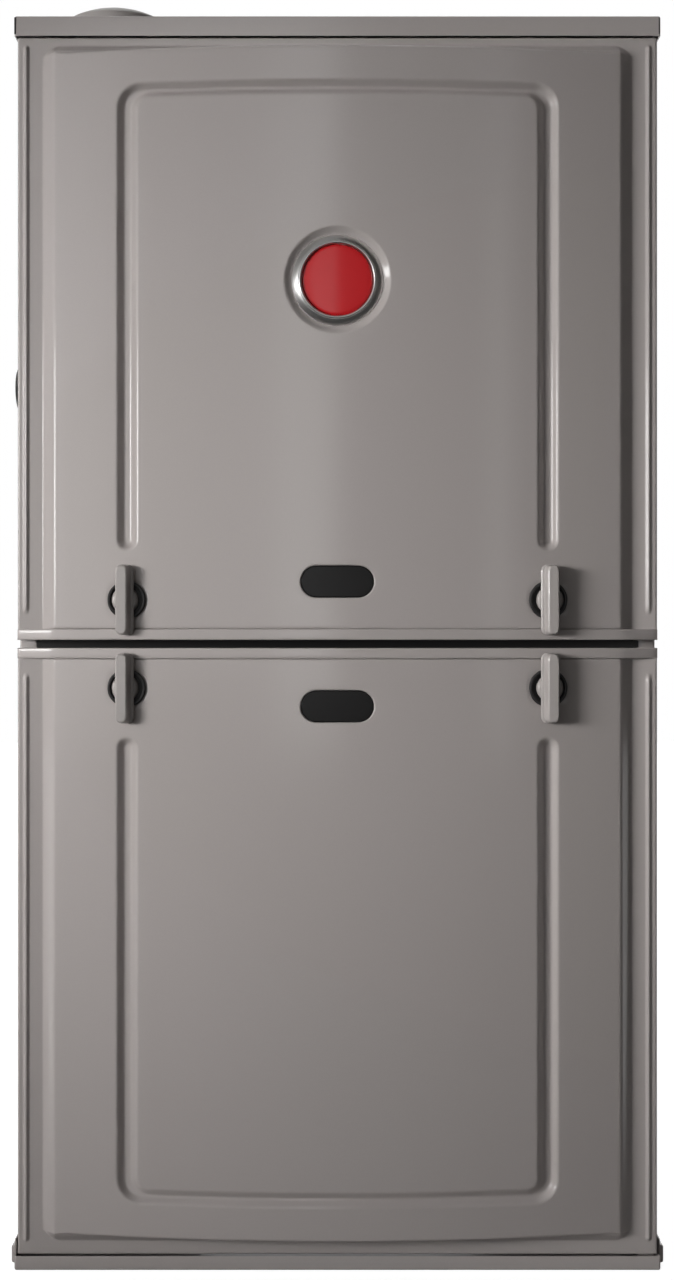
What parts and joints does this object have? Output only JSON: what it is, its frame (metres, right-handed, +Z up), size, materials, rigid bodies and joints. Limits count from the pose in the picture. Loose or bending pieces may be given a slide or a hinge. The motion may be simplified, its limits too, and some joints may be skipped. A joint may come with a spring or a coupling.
{
  "type": "forced air gas furnace",
  "caption": "Upflow forced air gas furnace: steel cabinet with bowed lift-off doors on turn latches, burners, heat exchangers, draft inducer, blower and controls.",
  "frame": {"origin": "on the floor, under the middle of the furnace", "axes": "+Z up, the doors face -Y, +X to the right as seen facing the doors"},
  "size_m": [0.4522, 0.7498, 0.8996],
  "materials": {
    "badge_red": "deep red, domed and glossy",
    "black_plastic": "moulded matt",
    "black_rubber": "matt",
    "board_green": "solder mask",
    "button_red": "moulded",
    "cabinet_paint": "satin metallic taupe",
    "ceramic": "glazed ceramic look",
    "chrome": "bright",
    "cream_plastic": "pipe grade, satin",
    "dark_paint": "satin black",
    "dark_plastic": "moulded matt",
    "exchanger_steel": "aluminised steel",
    "fin_metal": "thin fins",
    "galvanised": "galvanised sheet",
    "grey_plastic": "moulded satin",
    "insulation": "foil-faced glass fibre",
    "knob_blue": "moulded",
    "latch_plastic": "painted satin",
    "motor_paint": "black enamel",
    "pipe_black": "black iron pipe",
    "steel": "zinc plated",
    "tube_tan": "silicone",
    "valve_alloy": "die cast",
    "white_plastic": "moulded satin",
    "window": "dark smoked, glossy",
    "wire_red": "wire bundle"
  },
  "bodies": {
    "casing": {"casing_wrap": "cabinet_paint", "top_panel": "cabinet_paint", "base_pan": "cabinet_paint", "center_rail": "dark_paint", "blower_deck": "galvanised", "vestibule_panel": "galvanised", "casing_insulation": "insulation", "side_plug": "black_rubber", "intake_cap": "grey_plastic", "vent_pipe": "cream_plastic", "vent_coupling": "black_rubber", "exchanger_tubes": "exchanger_steel", "exchanger_header": "exchanger_steel", "secondary_coil": "fin_metal", "collector_box": "dark_plastic", "burner_box": "galvanised", "burners": "exchanger_steel", "gas_manifold": "pipe_black", "gas_valve": "valve_alloy", "igniter": "ceramic", "flame_sensor": "ceramic", "rollout_switch": "dark_plastic", "limit_switch": "dark_plastic", "inducer_housing": "dark_plastic", "inducer_motor": "motor_paint", "pressure_switch": "dark_plastic", "pressure_tube": "tube_tan", "blower_housing": "galvanised", "blower_motor": "motor_paint", "motor_mount": "steel", "control_tray": "black_plastic", "control_board": "board_green", "transformer": "steel", "door_switch": "black_plastic", "condensate_trap": "white_plastic", "drain_hose": "black_rubber", "wire_harness": "wire_red", "panel_screws": "steel"},
    "blower_rotor": {"blower_wheel": "galvanised", "blower_shaft": "steel"},
    "inducer_rotor": {"inducer_wheel": "steel", "inducer_fan": "dark_plastic"},
    "valve_knob": {"valve_knob": "knob_blue"},
    "door_switch_plunger": {"switch_plunger": "white_plastic"},
    "rollout_reset_button": {"reset_button": "button_red"},
    "upper_door": {"upper_door": "cabinet_paint", "upper_door_liner": "insulation", "upper_door_rail": "cabinet_paint", "upper_sight_glass": "window", "badge_bezel": "chrome", "badge_disc": "badge_red", "upper_latch_collars": "black_plastic"},
    "lower_door": {"lower_door": "cabinet_paint", "lower_door_rail": "cabinet_paint", "lower_sight_glass": "window", "lower_latch_collars": "black_plastic"},
    "upper_left_latch": {"upper_left_latch": "latch_plastic"},
    "upper_right_latch": {"upper_right_latch": "latch_plastic"},
    "lower_left_latch": {"lower_left_latch": "latch_plastic"},
    "lower_right_latch": {"lower_right_latch": "latch_plastic"}
  },
  "joints": [
    {"name": "upper_door_lift_off", "type": "slide", "parent": "casing", "child": "upper_door", "axis": [0, -1, 0], "range_m": [0, 0.25]},
    {"name": "lower_door_lift_off", "type": "slide", "parent": "casing", "child": "lower_door", "axis": [0, -1, 0], "range_m": [0, 0.25]},
    {"name": "upper_left_latch_turn", "type": "hinge", "parent": "upper_door", "child": "upper_left_latch", "pos_m": [-0.1433, -0.3459, 0.46115], "axis": [0, 1, 0], "range_deg": [0, 90]},
    {"name": "lower_left_latch_turn", "type": "hinge", "parent": "lower_door", "child": "lower_left_latch", "pos_m": [-0.1433, -0.3459, 0.40125], "axis": [0, 1, 0], "range_deg": [0, 90]},
    {"name": "upper_right_latch_turn", "type": "hinge", "parent": "upper_door", "child": "upper_right_latch", "pos_m": [0.1433, -0.3459, 0.46115], "axis": [0, 1, 0], "range_deg": [0, 90]},
    {"name": "lower_right_latch_turn", "type": "hinge", "parent": "lower_door", "child": "lower_right_latch", "pos_m": [0.1433, -0.3459, 0.40125], "axis": [0, 1, 0], "range_deg": [0, 90]},
    {"name": "blower_spin", "type": "hinge", "parent": "casing", "child": "blower_rotor", "pos_m": [0, 0.0984, 0.2], "axis": [1, 0, 0], "continuous": true},
    {"name": "inducer_spin", "type": "hinge", "parent": "casing", "child": "inducer_rotor", "pos_m": [0.055, -0.2159, 0.52], "axis": [0, 1, 0], "continuous": true},
    {"name": "valve_knob_turn", "type": "hinge", "parent": "casing", "child": "valve_knob", "pos_m": [-0.146, -0.2566, 0.631], "axis": [0, 1, 0], "range_deg": [0, 90]},
    {"name": "door_switch_press", "type": "slide", "parent": "casing", "child": "door_switch_plunger", "axis": [0, 1, 0], "range_m": [0, 0.002], "stiffness_N_per_m": 400, "springref_m": -0.003},
    {"name": "rollout_reset_press", "type": "slide", "parent": "casing", "child": "rollout_reset_button", "axis": [0, 0, -1], "range_m": [0, 0.0015], "stiffness_N_per_m": 400, "springref_m": -0.001}
  ]
}
